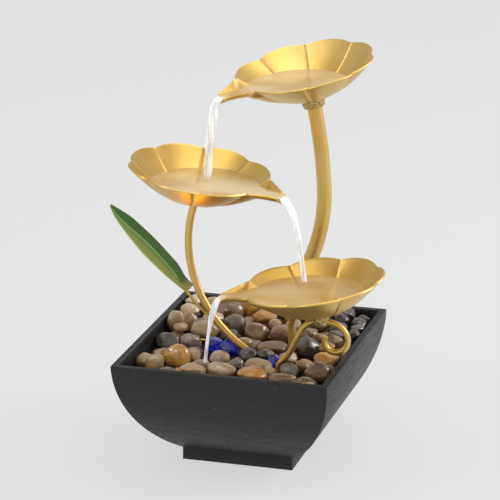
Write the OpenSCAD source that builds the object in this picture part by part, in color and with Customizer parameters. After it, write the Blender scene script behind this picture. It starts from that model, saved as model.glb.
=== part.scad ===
// Tabletop water fountain: a square resin basin of wet pebbles, a submersible pump,
// and a brass-gold tree of three lotus-leaf dishes that spill one into the next.
// Origin: centre of the basin's foot on the resting surface. +Z up, +Y to the back.

/* [Basin] */
// Basin width across the rim, left to right
rim_w = 144; // [120:1:180]
// Basin depth across the rim, front to back
rim_d = 161; // [135:1:200]
// Height of the rim above the table
basin_h = 77; // [65:1:95]
// Width of the foot block
foot_w = 77; // [60:1:100]
// Depth of the foot block
foot_d = 74; // [60:1:100]
// Height of the foot block
foot_h = 9; // [6:0.5:14]
// Inward lean of the front and back walls at the rim, degrees
wall_lean = 8; // [4:0.5:12]
// Basin wall thickness
wall = 4.4; // [3:0.1:7]
// Basin floor thickness above the foot
floor_t = 4; // [3:0.1:7]
// Depth of the pad pockets under the foot
pad_pocket = 2; // [1:0.5:4]
// Radius of a rubber foot pad
pad_r = 5; // [3:0.5:7]
// Radius of the cord hole in the back wall
cord_hole_r = 5; // [3.5:0.1:8]
// Drop from the rim to the cord hole's centre
cord_hole_drop = 11; // [9:0.5:16]
// Radius of the cord passage through the grommet
grommet_bore_r = 2.6; // [1.5:0.1:4]

/* [Stone tray] */
// Drop from the rim to the tray's top face
tray_drop = 21; // [17:0.5:27]
// Tray thickness
tray_t = 2.5; // [1.5:0.1:4]
// Gap between the tray and the basin wall
tray_gap = 1.5; // [0.5:0.1:4]
// Radius of the drain holes in the tray
drain_r = 3; // [1.5:0.1:5]

/* [Leaf dishes] */
// Radius of a dish at the creases between its lobes
leaf_r = 44; // [36:0.5:52]
// How far each lobe bulges past the creases
lobe_bulge = 4.8; // [2:0.1:8]
// Depth of a dish, rim plane to underside
leaf_depth = 20.5; // [16:0.5:28]
// Sheet metal thickness of a dish
leaf_t = 1.3; // [0.8:0.1:2.5]
// Reach of the spout past the crease circle
spout_reach = 18.5; // [10:0.5:26]
// Half width of the spout's mouth
spout_w = 5.2; // [3:0.1:8]
// Depth of the spout's trough
trough = 5; // [3:0.1:8]

/* [Stems] */
// Outer radius of the water tube that carries the top dish
tube_r = 5; // [4:0.1:7]
// Wall of the water tube
tube_wall = 1; // [0.6:0.1:1.6]
// Radius of the middle dish's rod
rod_r = 2.5; // [1.8:0.1:3.5]
// Radius of the bottom dish's legs and curl
leg_r = 2; // [1.4:0.1:3]
// Radius of the green leaf's wire
wire_r = 0.9; // [0.6:0.1:1.5]

/* [Green leaf] */
// Length of the green leaf
green_l = 79; // [60:1:95]
// Half width of the green leaf
green_w = 8.5; // [5:0.5:13]

/* [Pump] */
// Radius of the impeller chamber
volute_r = 15; // [13:0.5:18]
// Length of the impeller chamber
volute_l = 16; // [12:0.5:20]
// Length of the motor block
motor_l = 26; // [20:0.5:32]
// Outer radius of the outlet spigot
spigot_r = 5; // [4:0.1:6]
// Radius of the rotor shaft
shaft_r = 1; // [0.8:0.05:1.5]
// Radial running clearance of the rotor on its shaft
run_gap = 0.06; // [0.02:0.01:0.1]
// Wall of the clear hose
hose_wall = 1.5; // [1:0.1:2.5]
// Radial clearance of the hose on spigot and tube
hose_gap = 0.05; // [0.02:0.01:0.2]

/* [Light] */
// Radius of the light's housing
lamp_r = 9; // [7:0.5:12]

/* [Hidden] */
$fn = 48;
eps = 0.01;

// side walls: arcs that leave the rim upright; front and back walls lean in from the rim
wall_drop = basin_h - foot_h;
side_in = (rim_w - foot_w) / 2;
side_r = (wall_drop * wall_drop + side_in * side_in) / (2 * side_in);
end_in = (rim_d - foot_d) / 2;
end_r = (end_in * end_in + wall_drop * wall_drop)
      / (2 * (end_in * cos(wall_lean) - wall_drop * sin(wall_lean)));
floor_z = foot_h + floor_t;
cord_hole_z = basin_h - cord_hole_drop;
tray_z = basin_h - tray_drop;
tray_bottom = tray_z - tray_t;
// tray height that the points of the tree and the pebbles are set out for
set_out_z = 56;
lift = [0, 0, tray_z - set_out_z];

// dish poses: seat under the dish, tilt towards the spout, heading of the spout
top_at = [26.9, 47.91, 232.3];
top_tilt = 12.7;
top_heading = 217;
mid_at = [-38.13, -5.52, 170.73];
mid_tilt = 8.6;
mid_heading = 351;
low_at = [52.94, -29.29, 108.91];
low_tilt = 8.2;
low_heading = 194;

// dish mesh: sectors of 45 degrees, one of them the spout
spokes = 64;
rings = 8;
spout_k = 4;
tongue_rows = 4;
floor_s = 0.18;
far_short = 0.03;
far_slim = 0.45;
feed_hole_r = tube_r + 0.8;
flank = leaf_r * sin(22.5);

// solder seats under the dishes
seat_gap = 0.05;
top_seat_t = 7.5;
mid_seat_t = 1.2;
low_seat_t = 7.2;

// stems, each as [length, turn in degrees] down from its dish
tube_at = [28.6, 48, 225.5];
tube_path = [[55.6, -9], [56.3, -27.7], [57.4, 24.7], [7.2, 0]];
tube_heading = -78;
tube_rise = 11;
rod_at = [-37.45, -5.4, 170.17];
rod_path = [[6, 0], [51.2, 35.2], [57.5, 38.6], [7, -57.8], [6.1, 0]];
rod_heading = -106;
leg_at = [54.2, -29.1, 102.8];
leg_path = [[2, 0], [13.3, 55.8], [13, 4.6], [13.3, -22.8], [6, 46.4], [9.6, 0]];
leg_heading = -174;
back_leg_path = [[21, 0], [22, -85], [27, 0]];
curl_path = [[5, 0], [17.3, -61.7], [17.6, -101.4], [18.6, -124.7]];

// pump: rotor axis along X, its spigot level with the hose's lower run
spigot_z = 35;
hose_x = 13.17;
hose_y = 48;
hose_top = tray_z + 3.2;
hose_run = 16;
elbow_r = 17;
spigot_end = 24;
pump_at = [hose_x, -8, 31];
hose_r = tube_r + hose_gap;
join_trim = 0.15;
join_bead = 0.08;
join_sleeve = 1;
cover_t = 5;
grommet_lip = 1.6;
grommet_lip_t = 1.2;
rotor_r = 6;

lamp_at = [-40, 24, tray_z + 0.3];
lead_r = 1.3;
lead_run = lamp_r + 3;
lead_bend = 10;
lead_turn = 88;
lead_start = [0, -2, 4];
lead_drop_y = lamp_at[1] + lead_start[1] - lead_run - lead_bend * 180 / (PI * lead_turn);

// pebbles: [x, y, z, length, width, height, heading]
tan_at = [
  [-61, 25, 74.5, 11.5, 10, 15, 0], [-54, 33.5, 71.5, 11.5, 10, 14.5, 0], [-36.5, 12, 75, 17.5, 15, 11, 0],
  [-60, -42, 68, 12.5, 10.5, 11.5, 0], [-52, -49.5, 71.5, 11.5, 10, 10, 0], [-23, -58.5, 72, 17.5, 15, 8, 0],
  [12, -27, 67, 17.5, 15, 10, 0], [-19, 52, 65, 19, 16.5, 13, 68], [41, 58, 65, 19, 16.5, 13, 142],
  [40, 38, 64.5, 17, 14.5, 11.5, 173], [-46.5, 63.5, 74, 16, 13.5, 11.5, 120], [-37.5, -12, 64, 16, 14, 11, 105],
  [54, -66, 68, 16, 13, 9.5, 30], [-56, -19.5, 64, 17, 15.5, 10.5, 60], [7.5, 65.5, 74, 16, 13, 11.5, 15],
  [6.5, 35, 64, 14, 11.5, 9.5, 105], [-10.5, 67, 66, 11, 8.5, 8.5, 75], [-6, 4, 71.5, 10.5, 9, 6, 15],
  [40, -0, 61.5, 10.5, 8, 6, 75], [24, -43.5, 70, 10.5, 8.5, 7, 105], [7.5, -57, 64, 10.5, 9, 6.5, 150],
  [-24.5, 67, 64, 10.5, 8.5, 7, 45], [61, 41.5, 74, 10, 9, 6.5, 15], [-10.5, -12, 62, 10.5, 8.5, 7, 150],
  [-6.5, -1, 62.5, 11, 8.5, 8, 75], [-54.5, 15.5, 73.5, 10.5, 9, 6, 165], [18, 38, 74, 11, 9, 8.5, 45],
  [27.5, -20, 62, 11, 8.5, 7, 75]];
brown_at = [
  [38.5, -63.5, 73.5, 17, 14.5, 8.5, 0], [54, -36, 69.5, 17.5, 15, 14.5, 0], [51, 20.5, 71, 11, 9.5, 10, 0],
  [13, 4, 69, 21, 17.5, 9, 0], [15, 25.5, 71.5, 17.5, 15, 12.5, 0], [-4, 24.5, 71.5, 15.5, 13.5, 14, 0],
  [-31.5, 51.5, 76, 19, 16, 13, 0], [-27, 20, 70, 10, 8.5, 12.5, 0], [-40.5, 45.5, 64.5, 17, 14.5, 11.5, 15],
  [57.5, 10.5, 64.5, 18, 15.5, 12, 98], [58, 60.5, 63.5, 15, 13, 10, 167], [-58, 13, 64.5, 17, 14.5, 11.5, 89],
  [32, 45.5, 74, 16.5, 14.5, 11, 15], [-13, -36, 64, 16, 14, 11, 60], [23, 37, 64, 17, 14, 10.5, 60],
  [32, -55, 65, 16, 13.5, 11.5, 15], [47, 67, 74.5, 14.5, 12.5, 10, 75], [59, 54, 73, 14.5, 11.5, 9, 105],
  [-20.5, -59, 63, 14, 12, 8.5, 135], [31, 29.5, 72.5, 12.5, 11, 8, 120], [35.5, -28, 62.5, 13.5, 11, 8, 15],
  [-48, -42, 62, 11, 9.5, 6.5, 120], [-44, 25.5, 74, 11.5, 9, 7, 150], [-4.5, 28, 61.5, 10.5, 8.5, 6, 30],
  [42, -26.5, 70, 11, 9, 7, 135], [-27, 39.5, 61.5, 10.5, 8.5, 6, 15], [-22.5, -44, 69, 11, 9.5, 7, 15],
  [22.5, 12, 62, 10.5, 9, 7, 105], [-20, 29, 63, 11, 10, 8.5, 135], [9, -68.5, 67.5, 10.5, 8.5, 8, 30],
  [39.5, 21.5, 72, 10.5, 9, 7, 60], [25.5, -67.5, 68, 10.5, 8.5, 7.5, 45]];
grey_at = [
  [-43, 1, 69, 13.5, 11.5, 10.5, 0], [35.5, -37, 69, 11.5, 10, 11.5, 0], [-23, 34.5, 73, 15.5, 13.5, 12.5, 0],
  [-58, 46, 64.5, 18, 15.5, 12, 92], [57.5, 38, 64.5, 18, 15.5, 12, 86], [57, -22, 64.5, 17, 14.5, 11.5, 170],
  [-37, 64.5, 63.5, 15, 13, 10, 115], [-40, -65, 67, 17, 13.5, 12.5, 30], [50, -51.5, 65, 17, 14.5, 12.5, 60],
  [-4, 12.5, 64, 16.5, 14, 10.5, 30], [-3.5, -64, 64, 16, 13, 9.5, 0], [31.5, 63, 75.5, 15.5, 14, 10, 135],
  [-18.5, 16, 63, 14.5, 12.5, 9, 90], [48.5, 42.5, 73.5, 12.5, 11.5, 8, 15], [-3.5, -25.5, 66, 12, 9.5, 9, 45],
  [-7.5, 69.5, 75, 12.5, 10, 9, 165], [-23.5, -9.5, 62.5, 10.5, 8, 8, 60], [48.5, 31, 72, 11.5, 10, 7, 150],
  [59.5, 67.5, 71.5, 11, 9, 8, 15], [-2.5, -43.5, 62, 10.5, 9.5, 7, 150], [40, -65, 62.5, 11, 9.5, 8, 45],
  [-16.5, -48.5, 62.5, 11, 9, 8, 150], [43, -41.5, 62.5, 10.5, 9, 8, 30]];
amber_at = [
  [-44, -30.5, 68.5, 19, 16, 17, 0], [17, -57.5, 72.5, 19.5, 16.5, 9, 0], [52, -5, 67.5, 16.5, 14, 12, 0],
  [-6, 49.5, 74.5, 16.5, 14, 9, 0], [-20.5, 63.5, 75.5, 15.5, 13.5, 15, 0], [39.5, -14.5, 64, 16, 14, 11, 31],
  [0, 58.5, 64, 16, 14, 11, 40], [-34.5, -47.5, 63.5, 16.5, 15, 10, 75], [12.5, -43, 64, 17.5, 15.5, 10.5, 0],
  [-56, -61, 65, 16, 13, 11.5, 45], [13.5, -9, 62, 12, 10, 7, 15], [11, 17, 62.5, 12.5, 11, 8, 135],
  [27.5, -42.5, 62.5, 13, 11, 8, 105], [49, 7, 72.5, 10.5, 9, 6, 15], [59.5, 24.5, 62, 10.5, 8.5, 6.5, 45]];
dark_at = [
  [-57.5, -2.5, 68, 16.5, 14, 13.5, 0], [36, 9.5, 69.5, 16.5, 14, 15, 0], [47.5, 53.5, 75.5, 10.5, 9, 8.5, 0],
  [-48.5, 52.5, 75, 8, 6.5, 10.5, 0], [0.5, -13, 68, 12.5, 10.5, 10.5, 0], [24, 63, 64.5, 17, 14.5, 11.5, 67],
  [-57, 63.5, 64.5, 17, 14.5, 11.5, 24], [-9.5, 38.5, 64.5, 16, 13, 12, 165], [-19.5, 13, 72, 12, 10.5, 7.5, 45],
  [-32.5, 68, 73, 12.5, 10, 9.5, 75], [29.5, 50.5, 63, 11, 9.5, 8.5, 120], [0.5, -39, 70, 11, 9.5, 6.5, 135],
  [61.5, 31, 74, 11, 9.5, 6.5, 105], [11.5, 65.5, 62, 10.5, 8.5, 7, 150], [12.5, -12.5, 70, 11, 9, 7, 30]];
pale_at = [
  [-32, -25.5, 70, 6.5, 5.5, 8.5, 0], [-6, -51, 71, 18, 15.5, 10, 0], [-17, -19, 67, 13.5, 11.5, 10.5, 0],
  [4.5, 38.5, 73.5, 8.5, 7, 7.5, 0], [33, 22.5, 63.5, 15, 13, 10, 110], [-27, -33, 64, 15.5, 13.5, 11, 90],
  [-39, 37, 74, 14.5, 12, 9, 30], [-60.5, 66.5, 75, 14, 12, 9, 90], [-29.5, 3.5, 63, 12.5, 10, 8.5, 30],
  [18.5, -61, 62.5, 13.5, 10.5, 8, 120], [-57.5, 46, 75.5, 13.5, 11, 8, 165], [46.5, 24, 62.5, 12.5, 10, 8, 30],
  [27.5, -11, 69, 12.5, 11, 7.5, 120], [19, 57.5, 74, 11, 9, 7.5, 150], [-14, -68, 70, 10.5, 9, 6.5, 0]];
blue_at = [
  [-26, -3, 70, 9, 7.5, 9.5, 0], [-15.5, -4, 68, 11.5, 10, 12.5, 0], [20, -17.5, 67, 8.5, 7, 9, 0]];

// ---- helpers ----

// rod of straight and curved runs in the XZ plane, each [length, turn], with a bead at each join
module run(path, r, i = 0) {
  if (i < len(path)) {
    l = path[i][0];
    turn = path[i][1];
    a0 = i == 0 ? 0 : join_trim;
    a1 = i == len(path) - 1 ? 0 : join_trim;
    if (i > 0) sphere(r = r + join_bead);
    if (turn == 0) {
      translate([a0, 0, 0]) rotate([0, 90, 0]) cylinder(h = l - a0 - a1, r = r);
      translate([l, 0, 0]) run(path, r, i + 1);
    } else {
      br = l * 180 / (PI * abs(turn));
      s = sign(turn);
      from = abs(turn) * a0 / l;
      mirror([0, 0, s > 0 ? 0 : 1])
        translate([0, 0, br]) rotate([90, 0, 0]) rotate([0, 0, from - 90])
          rotate_extrude(angle = abs(turn) * (1 - (a0 + a1) / l)) translate([br, 0]) circle(r = r);
      translate([br * sin(abs(turn)), 0, s * br * (1 - cos(turn))])
        rotate([0, -turn, 0]) run(path, r, i + 1);
    }
  }
}

// pipe of the same runs, with a short sleeve at each join
module pipe(path, r, bore, i = 0) {
  if (i < len(path)) {
    l = path[i][0];
    turn = path[i][1];
    a0 = i == 0 ? 0 : join_trim;
    a1 = i == len(path) - 1 ? 0 : join_trim;
    if (i > 0)
      rotate([0, 90, 0]) translate([0, 0, -join_sleeve / 2])
        ring_bar(join_sleeve, r + join_bead, bore - join_bead);
    if (turn == 0) {
      translate([a0, 0, 0]) rotate([0, 90, 0]) ring_bar(l - a0 - a1, r, bore);
      translate([l, 0, 0]) pipe(path, r, bore, i + 1);
    } else {
      br = l * 180 / (PI * abs(turn));
      s = sign(turn);
      from = abs(turn) * a0 / l;
      mirror([0, 0, s > 0 ? 0 : 1])
        translate([0, 0, br]) rotate([90, 0, 0]) rotate([0, 0, from - 90])
          rotate_extrude(angle = abs(turn) * (1 - (a0 + a1) / l)) translate([br, 0])
            difference() {
              circle(r = r);
              circle(r = bore);
            }
      translate([br * sin(abs(turn)), 0, s * br * (1 - cos(turn))])
        rotate([0, -turn, 0]) pipe(path, r, bore, i + 1);
    }
  }
}

module ring_bar(h, r, bore) {
  difference() {
    cylinder(h = h, r = r);
    translate([0, 0, -1]) cylinder(h = h + 2, r = bore);
  }
}

// the basin's outer form, drawn in by a wall thickness
module bowl_form(inset, z0, z1) {
  cx = side_r - rim_w / 2;
  cy = end_r * cos(wall_lean) - rim_d / 2;
  cz = basin_h + end_r * sin(wall_lean);
  intersection() {
    for_side(cx, basin_h, side_r - inset, 0);
    for_side(-cx, basin_h, side_r - inset, 0);
    for_end(cy, cz, end_r - inset);
    for_end(-cy, cz, end_r - inset);
    translate([-rim_w, -rim_d, z0]) cube([2 * rim_w, 2 * rim_d, z1 - z0]);
  }
}

module for_side(x, z, r, y) {
  translate([x, y, z]) rotate([90, 0, 0]) cylinder(h = 2 * rim_d, r = r, center = true, $fn = 96);
}

module for_end(y, z, r) {
  translate([0, y, z]) rotate([0, 90, 0]) cylinder(h = 2 * rim_w, r = r, center = true, $fn = 96);
}

// half of the basin's inner width and depth at a height
function in_x(z) = sqrt(pow(side_r - wall, 2) - pow(basin_h - z, 2)) - (side_r - rim_w / 2);
function in_y(z) = sqrt(pow(end_r - wall, 2) - pow(basin_h + end_r * sin(wall_lean) - z, 2))
                 - (end_r * cos(wall_lean) - rim_d / 2);

function out_y(z) = sqrt(pow(end_r, 2) - pow(basin_h + end_r * sin(wall_lean) - z, 2))
                  - (end_r * cos(wall_lean) - rim_d / 2);

// dish surface: radius and height of ring j on spoke k
function spoke_a(k) = 360 * k / spokes;
function lobe_u(a) = (abs(a) - 22.5) / 45 - floor((abs(a) - 22.5) / 45);
function wrap(a) = a > 180 ? a - 360 : a;
function scallop(a) = abs(a) <= 22.5 ? 0 : pow(sin(180 * lobe_u(a)), 0.75);
function throat_h(a) = abs(a) < 22.5 ? -trough * (1 - pow(abs(a) / 22.5, 2.2)) : 0;
function far(a) = abs(a) / 180;
function ring_r(a, s) = s * (leaf_r * (1 - far_short * max(2 * far(a) - 1, 0))
                             + lobe_bulge * (1 - far_slim * far(a)) * scallop(a) * s);
function rim_h(a) = throat_h(a) + 1.2 * scallop(a);
function past_floor(s) = max(s - floor_s, 0) / (1 - floor_s);
function bowl_h(s) = pow(past_floor(s), 1.9);
function ring_h(a, s) = -(leaf_depth - leaf_t) + (leaf_depth - leaf_t + rim_h(a)) * bowl_h(s)
                      - 1.1 * scallop(a) * sin(180 * past_floor(s));
function dish_pt(k, s, out) =
  let (a = wrap(spoke_a(k)), r = ring_r(a, s) + out * 0.7 * s)
  [r * cos(a), r * sin(a), ring_h(a, s) - out * leaf_t];
function tongue_pt(f, t, out) =
  let (w = spout_w + (flank - spout_w) * pow(1 - t, 1.7),
       u0 = leaf_r * cos(22.5 * f),
       u = u0 + (leaf_r + spout_reach - u0) * t,
       dip = trough * (1 - pow(abs(f), 2.2)) + 1.2 * pow(t, 3) * (1 - abs(f)))
  [u + out * 0.7 * (1 - t), f * (w + out * 0.7), -dip - out * leaf_t];

module dish(hole_r) {
  s0 = hole_r / leaf_r;
  nb = spokes * (rings + 1);
  nt = (2 * spout_k + 1) * tongue_rows;
  np = nb + nt;
  side = function(out) concat(
    [for (j = [0:rings]) for (k = [0:spokes - 1]) dish_pt(k, s0 + (1 - s0) * j / rings, out)],
    [for (i = [1:tongue_rows]) for (q = [-spout_k:spout_k])
      tongue_pt(q / spout_k, i / tongue_rows, out)]);
  b = function(j, k) j * spokes + (k + spokes) % spokes;
  t = function(i, q) i == 0 ? b(rings, q) : nb + (i - 1) * (2 * spout_k + 1) + q + spout_k;
  sheet = concat(
    [for (j = [0:rings - 1]) for (k = [0:spokes - 1]) [b(j, k), b(j + 1, k), b(j + 1, k + 1)]],
    [for (j = [0:rings - 1]) for (k = [0:spokes - 1]) [b(j, k), b(j + 1, k + 1), b(j, k + 1)]],
    [for (i = [0:tongue_rows - 1]) for (q = [-spout_k:spout_k - 1])
      [t(i, q), t(i + 1, q), t(i + 1, q + 1)]],
    [for (i = [0:tongue_rows - 1]) for (q = [-spout_k:spout_k - 1])
      [t(i, q), t(i + 1, q + 1), t(i, q + 1)]]);
  edge = concat(
    [for (k = [spout_k:spokes - spout_k]) b(rings, k)],
    [for (i = [1:tongue_rows]) t(i, -spout_k)],
    [for (q = [-spout_k + 1:spout_k]) t(tongue_rows, q)],
    [for (i = [1:tongue_rows - 1]) t(tongue_rows - i, spout_k)]);
  ne = len(edge);
  polyhedron(
    points = concat(side(0), side(1)),
    faces = concat(
      [for (f = sheet) [f[2], f[1], f[0]]],
      [for (f = sheet) [f[0] + np, f[1] + np, f[2] + np]],
      [for (i = [0:ne - 1]) [edge[i], edge[(i + 1) % ne], edge[(i + 1) % ne] + np]],
      [for (i = [0:ne - 1]) [edge[i], edge[(i + 1) % ne] + np, edge[i] + np]],
      [for (k = [0:spokes - 1]) [b(0, k + 1), b(0, k), b(0, k) + np]],
      [for (k = [0:spokes - 1]) [b(0, k + 1), b(0, k) + np, b(0, k + 1) + np]]));
}

module dish_pose(at, tilt, heading) {
  translate(at + lift) rotate([0, 0, heading]) rotate([0, tilt, 0]) translate([0, 0, leaf_depth])
    children();
}

// a plain dish is closed at its middle by the solder plug that joins it to its rod
module plain_dish(at, tilt, heading) {
  dish_pose(at, tilt, heading) dish(1.2);
}

// all that lies above the underside of the seat under a dish
module above_seat(at, tilt, heading, seat_t) {
  dish_pose(at, tilt, heading) translate([0, 0, -leaf_depth - seat_t - 2 * seat_gap])
    cylinder(h = 2 * leaf_depth, r = leaf_r);
}

module pebbles(list) {
  for (p = list)
    translate([p[0], p[1], p[2]] + lift) rotate([0, 0, p[6]])
      scale([1, p[4] / p[3], p[5] / p[3]]) sphere(d = p[3]);
}

// ---- basin ----

module basin() {
  color([0.16, 0.16, 0.165])
  difference() {
    union() {
      bowl_form(0, foot_h, basin_h);
      translate([-foot_w / 2 + 1, -foot_d / 2 + 1, 0]) cube([foot_w - 2, foot_d - 2, foot_h + 1]);
    }
    bowl_form(wall, floor_z, basin_h + 1);
    pad_spots() translate([0, 0, -1]) cylinder(h = pad_pocket + 1, r = pad_r + 0.3);
    translate([0, rim_d / 2 + 5, cord_hole_z])
      rotate([90, 0, 0]) cylinder(h = wall + 20, r = cord_hole_r);
  }
}

module cord_grommet() {
  face = out_y(cord_hole_z + cord_hole_r + grommet_lip) + 0.2 + grommet_lip_t;
  len = face - in_y(cord_hole_z - cord_hole_r) + 1;
  color([0.05, 0.05, 0.05])
  translate([0, face, cord_hole_z]) rotate([90, 0, 0])
  difference() {
    union() {
      cylinder(h = len, r = cord_hole_r - 0.3);
      cylinder(h = grommet_lip_t, r = cord_hole_r + grommet_lip);
    }
    translate([0, 0, -1]) cylinder(h = len + 2, r = grommet_bore_r);
  }
}

module pad_spots() {
  for (x = [-1, 1]) for (y = [-1, 1])
    translate([x * (foot_w / 2 - pad_r - 4), y * (foot_d / 2 - pad_r - 4), 0]) children();
}

module foot_pads() {
  color([0.08, 0.08, 0.08])
  pad_spots() translate([0, 0, 0.2]) cylinder(h = pad_pocket - 0.25, r = pad_r);
}

module stone_tray() {
  w = in_x(tray_bottom) - tray_gap;
  d = in_y(tray_bottom) - tray_gap;
  color([0.1, 0.1, 0.1]) {
    difference() {
      translate([-w, -d, tray_bottom]) cube([2 * w, 2 * d, tray_t]);
      for (x = [-5:5]) for (y = [-5:5])
        if (norm([x * 10 - hose_x, y * 10.5 - hose_y]) > 13 && abs(x) + abs(y) > 0)
          translate([x * 10, y * 10.5, tray_bottom - 1]) cylinder(h = tray_t + 2, r = drain_r, $fn = 16);
      translate([hose_x, hose_y, tray_bottom - 1])
        cylinder(h = tray_t + 2, r = hose_r + hose_wall + 0.5);
      translate([lamp_at[0], lead_drop_y, tray_bottom - 1])
        cylinder(h = tray_t + 2, r = lead_r + 1.4);
    }
    for (x = [-1, 1]) for (y = [-1, 1])
      translate([x * (in_x(floor_z) - 6.5), y * (in_y(floor_z) - 6), floor_z]) cylinder(h = tray_bottom - floor_z, r = 2.5);
  }
}

// ---- leaf tree ----

module leaf_top() {
  color([0.80, 0.64, 0.30]) dish_pose(top_at, top_tilt, top_heading) dish(feed_hole_r);
}

module leaf_middle() {
  color([0.80, 0.64, 0.30]) plain_dish(mid_at, mid_tilt, mid_heading);
}

module leaf_bottom() {
  color([0.80, 0.64, 0.30]) plain_dish(low_at, low_tilt, low_heading);
}

module tube_top() {
  color([0.78, 0.62, 0.28])
  translate(tube_at + lift) rotate([0, -tube_heading, 0])
    translate([-tube_rise, 0, 0])
      pipe(concat([[tube_rise, 0]], tube_path), tube_r, tube_r - tube_wall);
}

module rod_middle() {
  color([0.78, 0.62, 0.28])
  difference() {
    translate(rod_at + lift) rotate([0, -rod_heading, 0]) run(rod_path, rod_r);
    above_seat(mid_at, mid_tilt, mid_heading, mid_seat_t);
  }
}

module leg_left() {
  color([0.78, 0.62, 0.28])
  difference() {
    translate(leg_at + lift) rotate([0, -leg_heading, 0]) run(leg_path, leg_r);
    above_seat(low_at, low_tilt, low_heading, low_seat_t);
  }
}

module leg_back() {
  color([0.78, 0.62, 0.28])
  difference() {
    translate(leg_at + lift + [-2.5, 4, -0.3]) rotate([0, 0, 136]) rotate([0, 5, 0])
      run(back_leg_path, leg_r);
    above_seat(low_at, low_tilt, low_heading, low_seat_t);
  }
}

module leg_curl() {
  color([0.78, 0.62, 0.28])
  difference() {
    translate(leg_at + lift + [2.6, 0, 0.4]) rotate([0, 7, 0]) run(curl_path, leg_r);
    above_seat(low_at, low_tilt, low_heading, low_seat_t);
  }
}

// flat solder seat between a dish and its bars
module seat(h, r) {
  translate([0, 0, -leaf_depth - seat_gap - h]) cylinder(h = h, r1 = r * 0.85, r2 = r);
}

module collar_top() {
  color([0.62, 0.48, 0.22])
  dish_pose(top_at, top_tilt, top_heading) translate([0, 0, -leaf_depth - seat_gap - top_seat_t])
    difference() {
      cylinder(h = top_seat_t, r1 = tube_r + 2.2, r2 = tube_r + 3.6);
      translate([0, 0, -1]) cylinder(h = top_seat_t + 2, r = feed_hole_r + 0.5);
    }
}

module collar_middle() {
  color([0.62, 0.48, 0.22])
  dish_pose(mid_at, mid_tilt, mid_heading) seat(mid_seat_t, rod_r + 2);
}

module collar_bottom() {
  color([0.62, 0.48, 0.22])
  dish_pose(low_at, low_tilt, low_heading) seat(low_seat_t, 3 * leg_r + 0.5);
}

// flat steel strap under the pebbles that ties the stems together
module brace() {
  color([0.55, 0.44, 0.22])
  translate([0, 0, tray_z + 0.2]) linear_extrude(height = 1.6) {
    difference() {
      union() {
        translate([-6, -8]) square([34, 5]);
        translate([23, -32]) square([5, 60]);
        translate([hose_x - 4, 20]) square([20, 5]);
        translate([hose_x - 4, 20]) square([5, hose_y - 20]);
        translate([hose_x, hose_y]) circle(r = tube_r + 6);
      }
      translate([hose_x, hose_y]) circle(r = hose_r + hose_wall + 0.5);
    }
  }
}

function green_half(t) = green_w * pow(sin(180 * pow(t, 0.85)), 0.8) + 0.25;
function green_spine(t) = [-green_l * 0.72 * t, 0, green_l * (0.66 * t + 0.1 * sin(180 * t))];

module green_leaf() {
  n = 14;
  m = 4;
  row = 2 * m + 1;
  top = [for (i = [0:n]) for (q = [-m:m])
    let (t = i / n, p = green_spine(t), w = green_half(t) * q / m)
    [p[0] + 0.68 * w, p[1] - 2.5 * abs(q) / m * green_half(t) / green_w, p[2] + 0.73 * w]];
  np = len(top);
  back = [for (p = top) p + [0, 0.7, 0]];
  id = function(i, q) i * row + q + m;
  sheet = concat(
    [for (i = [0:n - 1]) for (q = [-m:m - 1]) [id(i, q), id(i + 1, q), id(i + 1, q + 1)]],
    [for (i = [0:n - 1]) for (q = [-m:m - 1]) [id(i, q), id(i + 1, q + 1), id(i, q + 1)]]);
  edge = concat([for (i = [0:n]) id(i, -m)], [for (q = [-m + 1:m]) id(n, q)],
    [for (i = [1:n]) id(n - i, m)], [for (q = [1:2 * m - 1]) id(0, m - q)]);
  ne = len(edge);
  color([0.24, 0.45, 0.10])
  translate([-40.2, -6.5, 103.5] + lift)
  polyhedron(points = concat(top, back), faces = concat(
    [for (f = sheet) [f[0], f[1], f[2]]],
    [for (f = sheet) [f[2] + np, f[1] + np, f[0] + np]],
    [for (i = [0:ne - 1]) [edge[(i + 1) % ne], edge[i], edge[i] + np]],
    [for (i = [0:ne - 1]) [edge[(i + 1) % ne], edge[i] + np, edge[(i + 1) % ne] + np]]));
}

module green_leaf_wire() {
  color([0.78, 0.62, 0.28])
  translate([-39.7, -7.1, 102.9] + lift) rotate([0, 52, 0]) run([[11.2, 12], [0.5, 0]], wire_r);
}

// ---- water circuit ----

module hose() {
  color([0.85, 0.88, 0.88, 0.5])
  difference() {
    hose_solid(hose_r + hose_wall, 0);
    hose_solid(hose_r, 1);
  }
}

module hose_solid(r, past) {
  translate([hose_x, hose_y, spigot_z + elbow_r])
    cylinder(h = hose_top - spigot_z - elbow_r + past, r = r);
  translate([hose_x, hose_y - elbow_r, spigot_z + elbow_r]) rotate([0, 90, 0])
    rotate_extrude(angle = 90) translate([elbow_r, 0]) circle(r = r);
  translate([hose_x, hose_y - elbow_r, spigot_z]) rotate([90, 0, 0])
    cylinder(h = hose_run + past, r = r);
}

module pump_housing() {
  color([0.07, 0.07, 0.075])
  translate(pump_at) difference() {
    union() {
      rotate([0, 90, 0]) translate([0, 0, -volute_l / 2]) cylinder(h = volute_l, r = volute_r);
      translate([-volute_l / 2 - motor_l, -volute_r, -volute_r])
        cube([motor_l + 2, 2 * volute_r, 2 * volute_r - 4]);
      translate([0, 0, spigot_z - pump_at[2]]) rotate([-90, 0, 0])
        cylinder(h = spigot_end - pump_at[1], r = spigot_r);
    }
    rotate([0, 90, 0]) translate([0, 0, -volute_l / 2 + 3]) cylinder(h = volute_l, r = volute_r - 2);
    rotate([0, 90, 0]) translate([0, 0, -volute_l / 2 - motor_l + 4])
      cylinder(h = motor_l, r = rotor_r + 1);
    translate([0, 0, spigot_z - pump_at[2]]) rotate([-90, 0, 0])
      cylinder(h = spigot_end - pump_at[1] + 1, r = spigot_r - 1.4);
    rotate([0, 90, 0]) translate([0, 0, -volute_l / 2 - motor_l - 1])
      translate([volute_r - 5, 0, 0]) cylinder(h = 6, r = 2.3);
  }
}

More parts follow.
